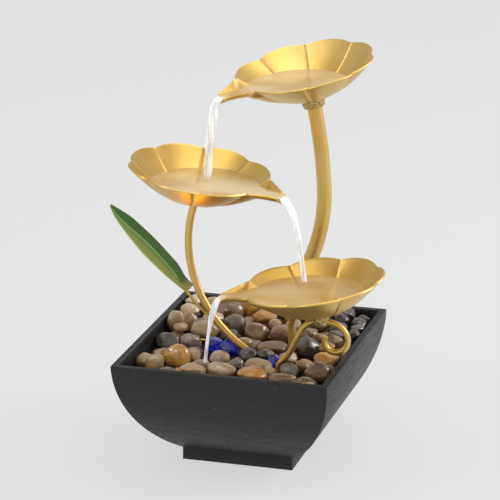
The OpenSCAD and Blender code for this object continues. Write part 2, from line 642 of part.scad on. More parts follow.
module pump_cover() {
  color([0.09, 0.09, 0.095])
  translate(pump_at + [volute_l / 2 + 0.3, 0, 0]) rotate([0, 90, 0])
  difference() {
    cylinder(h = cover_t, r = volute_r);
    translate([0, 0, -1]) cylinder(h = cover_t - 1, r = volute_r - 2);
    for (i = [-2:2]) translate([-8, i * 4 - 1, -2]) cube([16, 2, cover_t + 4]);
  }
}

module flow_dial() {
  color([0.25, 0.25, 0.26])
  translate(pump_at + [volute_l / 2 + cover_t + 0.7, 0, 0]) rotate([0, 90, 0])
  difference() {
    cylinder(h = 2, r = 11);
    for (a = [0:60:300]) rotate([0, 0, a]) translate([7, 0, -1]) cylinder(h = 4, r = 2, $fn = 24);
  }
}

module pump_rotor() {
  color([0.75, 0.76, 0.78])
  translate(pump_at) rotate([0, 90, 0]) difference() {
    union() {
      translate([0, 0, -volute_l / 2 - motor_l + 6]) cylinder(h = motor_l - 4, r = rotor_r);
      translate([0, 0, -volute_l / 2 + 4]) cylinder(h = 1.5, r = volute_r - 4);
      for (a = [0:60:300]) rotate([0, 0, a])
        translate([2, -0.6, -volute_l / 2 + 4]) cube([volute_r - 7, 1.2, 8]);
      translate([0, 0, -volute_l / 2]) cylinder(h = 12, r = 3);
    }
    translate([0, 0, -volute_l / 2 - motor_l]) cylinder(h = motor_l + volute_l, r = shaft_r + run_gap);
  }
}

module pump_shaft() {
  color([0.85, 0.86, 0.88])
  translate(pump_at) rotate([0, 90, 0])
    translate([0, 0, -volute_l / 2 - motor_l + 4.3]) cylinder(h = motor_l + 9, r = shaft_r);
}

module pump_cups() {
  h = pump_at[2] - volute_r - floor_z;
  color([0.12, 0.12, 0.12])
  for (x = [-1, 1]) for (y = [-1, 1])
    translate([pump_at[0] - volute_l / 2 - motor_l / 2 + x * 8, pump_at[1] + y * 9, floor_z + 0.2])
      cylinder(h = h - 0.4, r1 = 5, r2 = 2.5);
}

module pump_gland() {
  color([0.05, 0.05, 0.05])
  translate([pump_at[0] - volute_l / 2 - motor_l - 3, pump_at[1], pump_at[2] - volute_r + 5])
    rotate([0, 90, 0]) cylinder(h = 6, r = 2.2);
}

// ---- light ----

module lamp_housing() {
  color([0.09, 0.09, 0.095])
  translate(lamp_at) difference() {
    cylinder(h = 9, r = lamp_r);
    translate([0, 0, 2]) cylinder(h = 8, r = lamp_r - 1.5);
    translate([0, 0, lead_start[2]]) rotate([90, 0, 0]) cylinder(h = lamp_r + 2, r = lead_r + 0.4);
  }
}

module lamp_lens() {
  color([1.0, 0.85, 0.5, 0.6])
  translate(lamp_at + [0, 0, 6.5]) rotate_extrude() intersection() {
    translate([0, -20]) circle(r = 23, $fn = 96);
    square([lamp_r - 1.8, 6]);
  }
}

module lamp_lead() {
  color([0.05, 0.05, 0.05])
  translate(lamp_at + lead_start) rotate([0, 0, -90])
    run([[lead_run, 0], [lead_bend, -lead_turn]], lead_r);
}

// ---- pebbles ----

module stones_tan() {
  color([0.62, 0.50, 0.36]) pebbles(tan_at);
}

module stones_brown() {
  color([0.40, 0.29, 0.20]) pebbles(brown_at);
}

module stones_grey() {
  color([0.45, 0.44, 0.42]) pebbles(grey_at);
}

module stones_amber() {
  color([0.65, 0.36, 0.15]) pebbles(amber_at);
}

module stones_dark() {
  color([0.20, 0.18, 0.17]) pebbles(dark_at);
}

module stones_pale() {
  color([0.78, 0.72, 0.63]) pebbles(pale_at);
}

module stones_blue_glass() {
  color([0.10, 0.16, 0.75, 0.7]) pebbles(blue_at);
}

// ---- drawing ----

basin();
cord_grommet();
foot_pads();
stone_tray();
leaf_top();
leaf_middle();
leaf_bottom();
tube_top();
rod_middle();
leg_left();
leg_back();
leg_curl();
collar_top();
collar_middle();
collar_bottom();
brace();
green_leaf();
green_leaf_wire();
hose();
pump_housing();
pump_cover();
flow_dial();
pump_rotor();
pump_shaft();
pump_cups();
pump_gland();
lamp_housing();
lamp_lens();
lamp_lead();
stones_tan();
stones_brown();
stones_grey();
stones_amber();
stones_dark();
stones_pale();
stones_blue_glass();
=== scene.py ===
import math

import bpy
from mathutils import Matrix, Vector, noise


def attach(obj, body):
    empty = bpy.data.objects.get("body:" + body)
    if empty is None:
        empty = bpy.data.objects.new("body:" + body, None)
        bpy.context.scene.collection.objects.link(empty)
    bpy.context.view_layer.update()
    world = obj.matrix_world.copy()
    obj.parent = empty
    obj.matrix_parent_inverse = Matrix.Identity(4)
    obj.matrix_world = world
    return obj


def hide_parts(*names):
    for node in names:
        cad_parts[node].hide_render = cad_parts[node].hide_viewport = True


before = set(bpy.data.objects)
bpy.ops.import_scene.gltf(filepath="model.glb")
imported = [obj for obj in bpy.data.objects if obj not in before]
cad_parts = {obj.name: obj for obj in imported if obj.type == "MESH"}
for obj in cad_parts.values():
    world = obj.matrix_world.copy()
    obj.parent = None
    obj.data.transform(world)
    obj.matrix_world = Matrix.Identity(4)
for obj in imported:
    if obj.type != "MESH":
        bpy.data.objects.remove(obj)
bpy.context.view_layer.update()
MM = 0.001
bpy.ops.object.select_all(action="DESELECT")

# ---- Studio ----
# A seamless pale sweep that glows a little so that it stays even, a broad soft light overhead, a
# stronger one from the right and behind, a weak fill from the front left, and a small lamp that
# puts glints on what is wet. The camera stands a little above, to the right.
bpy.ops.mesh.primitive_plane_add(size=14, location=(0, 3.5, -0.0003))
floor = bpy.context.object
floor.name = "studio_floor"
floor_paint = bpy.data.materials.new("studio_floor_paint")
floor_paint.use_nodes = True
floor_shader = floor_paint.node_tree.nodes["Principled BSDF"]
floor_shader.inputs["Base Color"].default_value = (0.15, 0.15, 0.15, 1)
floor_shader.inputs["Emission Color"].default_value = (1, 1, 1, 1)
floor_shader.inputs["Emission Strength"].default_value = 0.605
floor_shader.inputs["Roughness"].default_value = 0.9
floor_shader.inputs["Specular IOR Level"].default_value = 0.1
floor.data.materials.append(floor_paint)

studio = bpy.data.worlds.new("studio")
studio.use_nodes = True
studio.node_tree.nodes["Background"].inputs["Color"].default_value = (1.0, 1.0, 1.0, 1)
studio.node_tree.nodes["Background"].inputs["Strength"].default_value = 0.62
bpy.context.scene.world = studio
bpy.context.scene.view_settings.view_transform = "Standard"


def soft_light(name, place, aim, size, watts):
    lamp = bpy.data.lights.new(name, "AREA")
    lamp.shape = "DISK"
    lamp.size = size
    lamp.energy = watts
    stand = bpy.data.objects.new(name, lamp)
    bpy.context.scene.collection.objects.link(stand)
    stand.location = place
    stand.rotation_euler = (Vector(aim) - Vector(place)).to_track_quat("-Z", "Y").to_euler()


soft_light("overhead", (0.1, 0.1, 1.7), (0, 0, 0.1), 1.5, 10)
soft_light("right_back", (1.5, 0.7, 1.0), (0, 0, 0.1), 0.9, 19)
soft_light("front_fill", (-1.2, -1.6, 0.9), (0, 0, 0.12), 0.9, 2)
soft_light("glints", (-0.55, -0.5, 1.25), (0, 0, 0.08), 0.16, 1.3)

eye = bpy.data.cameras.new("eye")
eye.lens = 205.27
eye.sensor_width = 36
eye.clip_end = 60
camera = bpy.data.objects.new("eye", eye)
bpy.context.scene.collection.objects.link(camera)
camera.location = (0.49465, -1.71396, 0.70332)
look_at = Vector((-0.00168, 0, 0.13728))
camera.rotation_euler = (look_at - camera.location).to_track_quat("-Z", "Y").to_euler()
bpy.context.scene.camera = camera


# ---- Basin ----
# One moulding of black-pigmented resin with a finely brushed, slate-like face: four walls that
# curve in to a square foot, softened edges, and small chips and pale scuffs along the rim.
class Tone:
    """One output of a material's nodes; arithmetic on it adds the Math nodes it needs."""

    def __init__(self, tree, out=None):
        self.tree, self.out = tree, out

    def node(self, kind, settings=None, inputs=None, out=0):
        made = self.tree.nodes.new("ShaderNode" + kind)
        for key, value in (settings or {}).items():
            if key == "stops":
                ramp = made.color_ramp.elements
                while len(ramp) < len(value):
                    ramp.new(0.5)
                for stop, (at, colour) in zip(ramp, value):
                    stop.position = at
                    stop.color = (*colour, 1) if len(colour) == 3 else colour
            else:
                setattr(made, key, value)
        for key, value in (inputs or {}).items():
            if isinstance(value, Tone):
                self.tree.links.new(value.out, made.inputs[key])
            else:
                made.inputs[key].default_value = value
        return Tone(self.tree, made.outputs[out])

    def sums(self, operation, other, swap=False):
        pair = (other, self) if swap else (self, other)
        return self.node("Math", {"operation": operation}, dict(enumerate(pair)))

    def __add__(self, other):
        return self.sums("ADD", other)

    def __sub__(self, other):
        return self.sums("SUBTRACT", other)

    def __rsub__(self, other):
        return self.sums("SUBTRACT", other, True)

    def __mul__(self, other):
        return self.sums("MULTIPLY", other)

    __radd__, __rmul__ = __add__, __mul__

    def mix(self, low, high):
        """low where this is 0, high where it is 1, as colours"""
        ends = {6: low, 7: high}
        ends = {k: v if isinstance(v, Tone) else (*v, 1) for k, v in ends.items()}
        return self.node("Mix", {"data_type": "RGBA"}, {0: self, **ends}, out=2)

    def ramp(self, low, high):
        """0 below low, 1 above high, smooth between"""
        settings = {"interpolation_type": "SMOOTHSTEP"}
        return self.node("MapRange", settings, {"Value": self, "From Min": low, "From Max": high})

    def noise(self, scale, detail=3.0, rough=0.55, stretch=(1, 1, 1), out=0, shift=(0, 0, 0)):
        spot = self.node("TexCoord", out=3)
        if stretch != (1, 1, 1) or shift != (0, 0, 0):
            spot = self.node("Mapping", None, {"Vector": spot, "Scale": stretch, "Location": shift})
        inputs = {"Vector": spot, "Scale": scale, "Detail": detail, "Roughness": rough}
        return self.node("TexNoise", None, inputs, out=out)


def finish(name, **fixed):
    """A new Principled material with its fixed sockets set; returns it, its Tone and shader."""
    made = bpy.data.materials.new(name)
    made.use_nodes = True
    shader = made.node_tree.nodes["Principled BSDF"]
    for key, value in fixed.items():
        shader.inputs[key.replace("_", " ")].default_value = value
    return made, Tone(made.node_tree), shader


def feed(shader, **links):
    for key, value in links.items():
        value.tree.links.new(value.out, shader.inputs[key.replace("_", " ")])


def bump(tone, height, strength, distance):
    return tone.node("Bump", None, {"Height": height, "Strength": strength, "Distance": distance})


def only(piece):
    bpy.ops.object.select_all(action="DESELECT")
    piece.select_set(True)
    bpy.context.view_layer.objects.active = piece


def cast_of(node, name):
    """A piece with a CAD node's shape, its loose triangles merged."""
    piece = bpy.data.objects.new(name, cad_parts[node].data.copy())
    bpy.context.scene.collection.objects.link(piece)
    piece.data.materials.clear()
    only(piece)
    bpy.ops.object.mode_set(mode="EDIT")
    bpy.ops.mesh.select_all(action="SELECT")
    bpy.ops.mesh.remove_doubles(threshold=0.00001)
    bpy.ops.mesh.normals_make_consistent(inside=False)
    bpy.ops.object.mode_set(mode="OBJECT")
    return piece


def settle(piece, body, material, *nodes, angle=40, slot=None):
    """Gives a piece its material, smooth shading and its body, and hides the CAD nodes it stands for.
    """
    only(piece)
    bpy.ops.object.shade_smooth_by_angle(angle=math.radians(angle))
    piece.data.materials.clear()
    piece.data.materials.append(material)
    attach(piece, body)
    if nodes:
        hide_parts(*nodes)
    return piece


basin = cast_of("basin", "basin_shell")
edge_round = basin.modifiers.new("softened_edges", "BEVEL")
edge_round.width = 0.6 * MM
edge_round.segments = 3
edge_round.limit_method = "ANGLE"
edge_round.angle_limit = math.radians(35)
only(basin)
bpy.ops.object.modifier_apply(modifier="softened_edges")

resin, tone, shader = finish("brushed_black_resin", Specular_IOR_Level=0.42)
brushed = tone.noise(46, 5, 0.62, (1, 1, 7.5))
fine = tone.noise(260, 3, 0.6, (1, 1, 5))
scuffs = tone.noise(620, 2, 0.5, (1, 1, 1.6))
cloud = tone.noise(14, 2, 0.5)
streak = (brushed * 0.6 + fine * 0.4).ramp(0.42, 0.66)
speck = scuffs.ramp(0.66, 0.74) * brushed.ramp(0.5, 0.6)
black = (0.007, 0.007, 0.008)
slate = (0.019, 0.020, 0.0215)
scuff = (0.16, 0.16, 0.165)
feed(shader,
     Base_Color=(speck * 0.6).mix((streak * (0.35 + 0.65 * cloud)).mix(black, slate), scuff),
     Roughness=0.40 + 0.22 * streak + 0.08 * fine,
     Normal=bump(tone, brushed * 0.5 + fine * 0.5 - speck * 0.7, 0.35, 0.0004))
settle(basin, "fountain", resin, "basin", angle=35, slot="black_resin")


# ---- Lotus-leaf dishes ----
# Three pressings of thin brass sheet in satin champagne-gold paint: seven lobes parted by raised
# creases, and one drawn out to a square-cut trough. Each is tilted towards its spout and is
# soldered under its middle to a stem.
LEAF_R, BULGE, DEPTH, SHEET = 44.0, 4.8, 19.2, 1.3
REACH, MOUTH, TROUGH = 18.5, 5.2, 5.0
LOBE, HALF_LOBE = 45, 22.5  # degrees
FLAT = 0.18  # share of the radius that is the flat floor
FEED_HOLE_R = 5.3
DISHES = {
    "leaf_top": (Vector((23.3, 45.2, 252.3)), 12.7, 217),
    "leaf_middle": (Vector((-35.1, -6, 191)), 8.6, 351),
    "leaf_bottom": (Vector((50.1, -30, 129.2)), 8.2, 194),
}


def pose_of(dish):
    at, tilt, heading = DISHES[dish]
    turn = Matrix.Rotation(math.radians(heading), 4, "Z") @ Matrix.Rotation(math.radians(tilt), 4, "Y")
    return Matrix.Translation(at) @ turn


def wrapped(a):
    return a if a <= 180 else a - 360


def lobe(a):
    """0 at each crease, 1 in the middle of a lobe; the spout's root keeps half a lobe's width"""
    if abs(a) <= HALF_LOBE:
        return 0.5
    part = (abs(a) - HALF_LOBE) / LOBE
    wave = math.sin(math.pi * (part % 1)) ** 0.75
    return max(wave, 0.5 + 0.5 * math.sin(math.pi * part)) if part < 0.5 else wave


def crease(a, r):
    """height of the raised line pressed along each crease"""
    away = min((a + HALF_LOBE) % LOBE, LOBE - (a + HALF_LOBE) % LOBE)
    arc = math.radians(away) * r
    rise = min(max((r / LEAF_R - 0.22) / 0.2, 0), 1)
    return 0.55 * math.exp(-((arc / 0.62) ** 2)) * rise


def dish_point(a, s):
    sc, far = lobe(a), abs(a) / 180
    rim = LEAF_R * (1 - 0.03 * max(2 * far - 1, 0)) + BULGE * (1 - 0.45 * far) * sc * s**3
    r = s * rim
    throat = -TROUGH * (1 - (abs(a) / HALF_LOBE) ** 2.2) if abs(a) < HALF_LOBE else 0.0
    top = throat + (1.2 * sc if abs(a) > HALF_LOBE else 0.6)
    past = max(s - FLAT, 0) / (1 - FLAT)
    h = -DEPTH + (DEPTH + top) * past**1.9
    h += crease(a, r) - 0.5 * sc * math.sin(math.pi * past)
    return r * math.cos(math.radians(a)), r * math.sin(math.radians(a)), h


def spout_point(f, t):
    root = LEAF_R + 0.5 * BULGE * (1 - 0.45 * HALF_LOBE / 180)
    half = root * math.sin(math.radians(HALF_LOBE))
    side = root * math.sin(math.radians(HALF_LOBE * f))
    ease = t * t * (3 - 2 * t)
    w = half + (MOUTH + 1.2 - half) * (0.55 * ease + 0.45 * (1 - (1 - t) ** 1.9))
    straight = (f * w - side) * min(1, 4 * t)
    u0 = root * math.cos(math.radians(HALF_LOBE * f))
    dip = (TROUGH - 1.6 * t * t) * (1 - abs(f) ** (2.2 - 0.3 * t)) + 1.5 * t**3 - 0.6 * (1 - t)
    reach = LEAF_R + REACH - 1.8 * f * f * t
    return u0 + (reach - u0) * t, side + straight, -dip


def shaped_grid(name, across, along, shape):
    """A flat grid whose vertices are moved to shape(0..1, 0..1), in millimetres."""
    bpy.ops.object.select_all(action="DESELECT")
    bpy.ops.mesh.primitive_grid_add(x_subdivisions=across, y_subdivisions=along, size=2)
    piece = bpy.context.object
    piece.name = name
    for v in piece.data.vertices:
        x, y, z = shape((v.co.x + 1) / 2, (v.co.y + 1) / 2)
        v.co = (x * MM, y * MM, z * MM)
    return piece


def joined(name, *pieces, weld=0.00003):
    bpy.ops.object.select_all(action="DESELECT")
    for piece in pieces:
        piece.select_set(True)
    bpy.context.view_layer.objects.active = pieces[0]
    if len(pieces) > 1:
        bpy.ops.object.join()
    pieces[0].name = name
    bpy.ops.object.mode_set(mode="EDIT")
    bpy.ops.mesh.select_all(action="SELECT")
    bpy.ops.mesh.remove_doubles(threshold=weld)
    bpy.ops.object.mode_set(mode="OBJECT")
    return pieces[0]


gold, tone, shader = finish("champagne_gold_paint", Metallic=0.92, Specular_IOR_Level=0.5,
                            Coat_Roughness=0.25)
mottle = tone.noise(38, 3, 0.5)
grain = tone.noise(2600, 2, 0.5)
wear = tone.noise(150, 4, 0.6)
warm = (0.67, 0.435, 0.098)
pale = (0.76, 0.52, 0.165)
feed(shader,
     Base_Color=(mottle.ramp(0.35, 0.7) * 0.8 + grain * 0.2).mix(warm, pale),
     Roughness=0.33 + 0.10 * mottle + 0.05 * wear,
     Coat_Weight=0.10 + 0.2 * mottle,
     Normal=bump(tone, grain * 0.7 + wear * 0.3, 0.12, 0.00012))

for dish in DISHES:
    core = FEED_HOLE_R / LEAF_R if dish == "leaf_top" else 0.02
    bowl = shaped_grid(dish + "_bowl", 288, 44,
                       lambda x, y: dish_point(wrapped(x * 360), core + (1 - core) * y))
    tongue = shaped_grid(dish + "_tongue", 36, 26, lambda x, y: spout_point(2 * x - 1, y))
    piece = joined(dish + "_dish", bowl, tongue)
    wall = piece.modifiers.new("sheet", "SOLIDIFY")
    wall.thickness = SHEET * 0.9 * MM
    wall.offset = 1
    wall.use_even_offset = True
    round_rim = piece.modifiers.new("rim", "BEVEL")
    round_rim.width = 0.3 * MM
    round_rim.segments = 2
    round_rim.limit_method = "ANGLE"
    round_rim.angle_limit = math.radians(62)
    only(piece)
    bpy.ops.object.modifier_apply(modifier="sheet")
    bpy.ops.object.modifier_apply(modifier="rim")
    piece.data.transform(Matrix.Scale(MM, 4) @ pose_of(dish) @ Matrix.Scale(1 / MM, 4))
    settle(piece, "fountain", gold, dish, angle=50, slot="gold_paint")


# ---- Stems, legs and curl ----
# Brass tube and rod, bent cold and painted with the dishes: the thick one is the water tube of
# the top dish; thinner bars carry the middle dish, stand as the low dish's two legs and end in
# its curl. A short open end of the tube stands up inside the top dish, just under the water.
def bent(name, start, heading, path, radius, plane=0):
    """A round bar of [length, turn] runs, drawn out along one curve."""
    at, angle, points = Vector((0, 0)), math.radians(heading), [Vector((0, 0))]
    for length, turn in path:
        steps = max(2, int(abs(turn) / 3) + 1) if turn else 2
        for _ in range(steps):
            angle += math.radians(turn) / steps / 2
            at = at + Vector((math.cos(angle), math.sin(angle))) * length / steps
            angle += math.radians(turn) / steps / 2
            points.append(at.copy())
    line = bpy.data.curves.new(name, "CURVE")
    line.dimensions = "3D"
    line.bevel_depth = radius * MM
    line.bevel_resolution = 6
    line.use_fill_caps = True
    spline = line.splines.new("POLY")
    spline.points.add(len(points) - 1)
    turned = Matrix.Rotation(math.radians(plane), 3, "Z")
    for knot, p in zip(spline.points, points):
        spot = (Vector(start) + turned @ Vector((p.x, 0, p.y))) * MM
        knot.co = (*spot, 1)
    bar = bpy.data.objects.new(name, line)
    bpy.context.scene.collection.objects.link(bar)
    only(bar)
    bpy.ops.object.convert(target="MESH")
    return bpy.context.object


# piece: CAD node it stands for, start, heading, runs, radius, turn about the upright
BARS = {
    "tube_top_bar": ("tube_top", (28.6, 48, 225.5), -78,
                     [(55.6, -9), (56.3, -27.7), (57.4, 24.7), (7.2, 0)], 5, 0),
    "rod_middle_bar": ("rod_middle", (-37.45, -5.4, 170.17), -106,
                       [(6, 0), (51.2, 35.2), (57.5, 38.6), (7, -57.8), (6.1, 0)], 2.5, 0),
    "leg_left_bar": ("leg_left", (54.2, -29.1, 102.8), -174,
                     [(2, 0), (13.3, 55.8), (13, 4.6), (13.3, -22.8), (6, 46.4), (9.6, 0)], 2, 0),
    "leg_back_bar": ("leg_back", (51.7, -25.1, 102.5), -5, [(21, 0), (22, -85), (27, 0)], 2, 136),
    "leg_curl_bar": ("leg_curl", (56.8, -29.1, 103.2), -7,
                     [(4, 0), (14.8, -61.7), (15.2, -101.4), (16, -124.7)], 2, 0),
    "green_leaf_wire_bar": ("green_leaf_wire", (-43.6, -7.1, 107.9), -52,
                            [(6.4, 0), (13, 12), (2.6, 0)], 0.9, 0),
    "tube_top_mouth": (None, (28.6, 48, 225.5), 102, [(11, 0)], 4.6, 0),
}
for name, (node, start, heading, runs, radius, turn) in BARS.items():
    stands_for = (node,) if node else ()
    settle(bent(name, start, heading, runs, radius, turn), "fountain", gold, *stands_for,
           slot="gold_paint")

# ---- Solder ----
# Each stem is brazed to its dish; the joint is a lumpy fillet, painted over and darker in its pits.
braze, tone, shader = finish("painted_braze", Metallic=0.9)
lumps = tone.noise(700, 4, 0.7)
feed(shader,
     Base_Color=lumps.ramp(0.35, 0.62).mix((0.20, 0.13, 0.05), (0.84, 0.64, 0.30)),
     Roughness=0.30 + 0.35 * lumps,
     Normal=bump(tone, lumps, 0.7, 0.0006))
noise.seed_set(7)  # without it the lumps and the stones' flats differ from run to run
for node in ("collar_top", "collar_middle", "collar_bottom"):
    piece = cast_of(node, node + "_braze")
    only(piece)
    bpy.ops.object.mode_set(mode="EDIT")
    bpy.ops.mesh.select_all(action="SELECT")
    bpy.ops.mesh.subdivide(number_cuts=2)
    bpy.ops.object.mode_set(mode="OBJECT")
    for v in piece.data.vertices:
        shift = noise.noise_vector(v.co * 420)
        v.co += Vector(shift) * 0.55 * MM
    settle(piece, "fountain", braze, node, angle=60, slot="solder")


# ---- Green leaf ----
# A stamped and enamelled metal leaf on a thin wire: dark green above its bright rib, yellow-green
# below, with a lime edge and an olive-gold root.
LEAF_UPPER = [(-95.9, 162.2), (-88.8, 158.6), (-80.7, 153.8), (-66.5, 141.9), (-56.8, 132.3),
              (-49.4, 124.3), (-44.8, 116.7), (-39.1, 111.4)]
LEAF_RIB = [(-95.9, 161.9), (-90.6, 155.6), (-84.4, 149.6), (-71.7, 139.6), (-62.7, 131.1),
            (-53.8, 121.7), (-47.6, 114.0), (-41.3, 108.7)]
LEAF_LOWER = [(-95.9, 161.6), (-94.4, 156.7), (-90.4, 149.8), (-78.0, 134.5), (-69.5, 126.0),
              (-58.0, 116.1), (-50.1, 110.3), (-43.5, 106.1)]


def along_line(line, t):
    """a point on a smooth curve through the line's points, t from 0 at the tip to 1 at the root"""
    k = min(int(t * (len(line) - 1)), len(line) - 2)
    f = t * (len(line) - 1) - k
    p, q, r, w = (line[min(max(k + d, 0), len(line) - 1)] for d in (-1, 0, 1, 2))
    return [0.5 * (2 * b + (c - a) * f + (2 * a - 5 * b + 4 * c - d) * f * f
                   + (3 * b - a - 3 * c + d) * f**3) for a, b, c, d in zip(p, q, r, w)]


def green_point(x, y):
    q, t = 2 * x - 1, 1 - y
    rib = along_line(LEAF_RIB, t)
    side = along_line(LEAF_UPPER if q > 0 else LEAF_LOWER, t)
    k = abs(q)
    ridge = 0.5 * math.exp(-((k / 0.09) ** 2)) * min(1, 6 * (1 - y)) * (1 if t < 0.82 else 0.3)
    lip = 0.35 * math.exp(-(((k - 0.94) / 0.05) ** 2))
    cup = 1.6 * k * k - 0.7 * math.sin(math.pi * k) * (q < 0)
    x, z = (r + (e - r) * k for r, e in zip(rib, side))
    return x, -6.8 + cup - ridge - lip, z


LEAF_ACROSS, LEAF_ALONG = 44, 84  # faces of the blade's grid
leaf = shaped_grid("green_leaf_blade", LEAF_ACROSS, LEAF_ALONG, green_point)
across = leaf.data.attributes.new("across", "FLOAT", "POINT")
along = leaf.data.attributes.new("along", "FLOAT", "POINT")
for i in range(len(leaf.data.vertices)):
    across.data[i].value = (i % (LEAF_ACROSS + 1)) / (LEAF_ACROSS / 2) - 1
    along.data[i].value = (i // (LEAF_ACROSS + 1)) / LEAF_ALONG
thick = leaf.modifiers.new("sheet", "SOLIDIFY")
thick.thickness = 0.7 * MM
thick.offset = 0
only(leaf)
bpy.ops.object.modifier_apply(modifier="sheet")
enamel, tone, shader = finish("leaf_enamel", Coat_Roughness=0.12)
side = tone.node("Attribute", {"attribute_name": "across"}, out=2)
run = tone.node("Attribute", {"attribute_name": "along"}, out=2)
vein = tone.noise(170, 3, 0.6, (1, 1, 1))
upper = (side + 0.06 * vein).ramp(-0.35, 0.08)
dark_green = run.mix((0.075, 0.16, 0.012), (0.035, 0.135, 0.008))
light_green = run.mix((0.42, 0.40, 0.06), (0.17, 0.30, 0.03))
halves = upper.mix(light_green, dark_green)
off_rib = tone.node("Math", {"operation": "ABSOLUTE"}, {0: side})
rib_mask = (1 - off_rib.ramp(0.03, 0.11)) * run.ramp(0.14, 0.20)
lime_edge = (0 - side).ramp(0.86, 0.92)
root = 1 - run.ramp(0.02, 0.16)
coloured = rib_mask.mix(halves, (0.24, 0.52, 0.11))
coloured = lime_edge.mix(coloured, (0.72, 0.76, 0.26))
coloured = (vein * 0.22).mix(coloured, (0.03, 0.09, 0.01))
feed(shader,
     Base_Color=(root * 0.8).mix(coloured, (0.46, 0.36, 0.06)),
     Roughness=0.34 + 0.2 * vein,
     Coat_Weight=0.25 + 0.3 * vein,
     Normal=bump(tone, vein, 0.3, 0.0004))
settle(leaf, "fountain", enamel, "green_leaf", angle=60, slot="green_leaf")


# ---- Pebbles ----
# Loose river pebbles, wet and glossy, no two alike: tan, brown, grey, amber, dark and pale, each
# rounded and slightly flattened, lying against each other on the tray.
def stone_sizes(node):
    """Centre, length, width, height and heading of each solid of a pebble node."""
    rough = cast_of(node, node + "_sizes")
    links = {i: i for i in range(len(rough.data.vertices))}

    def top(i):
        while links[i] != i:
            links[i] = links[links[i]]
            i = links[i]
        return i

    for e in rough.data.edges:
        links[top(e.vertices[0])] = top(e.vertices[1])
    groups = {}
    for v in rough.data.vertices:
        groups.setdefault(top(v.index), []).append(v.co.copy())
    bpy.data.objects.remove(rough)
    found = []
    for spots in groups.values():
        low = Vector([min(p[k] for p in spots) for k in range(3)])
        high = Vector([max(p[k] for p in spots) for k in range(3)])
        centre, best = (low + high) / 2, None
        for degrees in range(0, 180, 5):
            way = Vector((math.cos(math.radians(degrees)), math.sin(math.radians(degrees)), 0))
            reach = max((p - centre).dot(way) for p in spots)
            if best is None or reach > best[0] + 1e-7:
                best = (reach, degrees)
        side = Vector((-math.sin(math.radians(best[1])), math.cos(math.radians(best[1])), 0))
        width = max((p - centre).dot(side) for p in spots)
        found.append((centre, Vector((best[0], width, (high - low).z / 2)), best[1]))
    return sorted(found, key=lambda s: (round(s[0].x, 5), round(s[0].y, 5)))


bpy.ops.object.select_all(action="DESELECT")
bpy.ops.mesh.primitive_ico_sphere_add(subdivisions=4, radius=1)
blank = bpy.context.object
ball = [v.co.normalized() for v in blank.data.vertices]
ball_faces = [tuple(p.vertices) for p in blank.data.polygons]
bpy.data.objects.remove(blank)


def pebble(seed, sharp, flats):
    """One rounded, slightly flattened and dented stone of about unit half size."""
    origin = Vector((seed * 3.71, seed * 1.93, seed * 2.57))
    planes = []
    for k in range(flats):
        way = Vector(noise.noise_vector(origin + Vector((k * 5.1, 0.7, k * 2.3)))).normalized()
        depth = 0.78 + 0.16 * abs(noise.noise(origin + Vector((k * 1.7, 9.1, 0))))
        planes.append((way, depth))
    shaped = []
    for p in ball:
        r = 1 + 0.13 * sharp * noise.noise(p * 0.9 + origin)
        r += 0.035 * sharp * noise.noise(p * 2.6 + origin)
        q = p * r
        for way, depth in planes:
            over = q.dot(way) - depth
            if over > -0.05:
                soft = over + 0.05
                q = q - way * (soft * 0.62 if over > 0.05 else soft * soft * 3.1)
        q = q * (1 + 0.010 * sharp * noise.noise(p * 7 + origin))
        shaped.append(q)
    reach = [max(abs(q[k]) for q in shaped) for k in range(3)]
    return [Vector((q.x / reach[0], q.y / reach[1], q.z / reach[2])) for q in shaped]


def pile(name, node, sharp=1.5, flats=6, grow=1.10):
    spots, faces, tones, painted_shade_values = [], [], [], []
    for i, (centre, half, degrees) in enumerate(stone_sizes(node)):
        seed = 1 + i + sum(map(ord, node)) * 0.1
        lean = Matrix.Rotation(0.22 * noise.noise(Vector((seed, 4.4, 0))), 3, "X")
        turn = Matrix.Rotation(math.radians(degrees), 3, "Z") @ lean
        base = len(spots)
        for q in pebble(seed, sharp, flats):
            spots.append(centre + turn @ Vector((q.x * half.x, q.y * half.y, q.z * half.z)) * grow)
            tones.append(0.5 + 0.5 * math.sin(seed * 12.9898 * 3.1))
            # how far a pebble lies into the back right corner; painted shade darkens the pebbles there
            corner = (centre.x - 0.025) / 0.045 + (centre.y - 0.018) / 0.045
            painted_shade_values.append(min(max(corner - 0.35, 0), 1))
        faces += [tuple(base + k for k in f) for f in ball_faces]
    mesh = bpy.data.meshes.new(name)
    mesh.from_pydata(spots, [], faces)
    tint = mesh.attributes.new("tint", "FLOAT", "POINT")
    tint.data.foreach_set("value", tones)
    deep = mesh.attributes.new("deep", "FLOAT", "POINT")
    deep.data.foreach_set("value", painted_shade_values)
    heap = bpy.data.objects.new(name, mesh)
    bpy.context.scene.collection.objects.link(heap)
    return heap


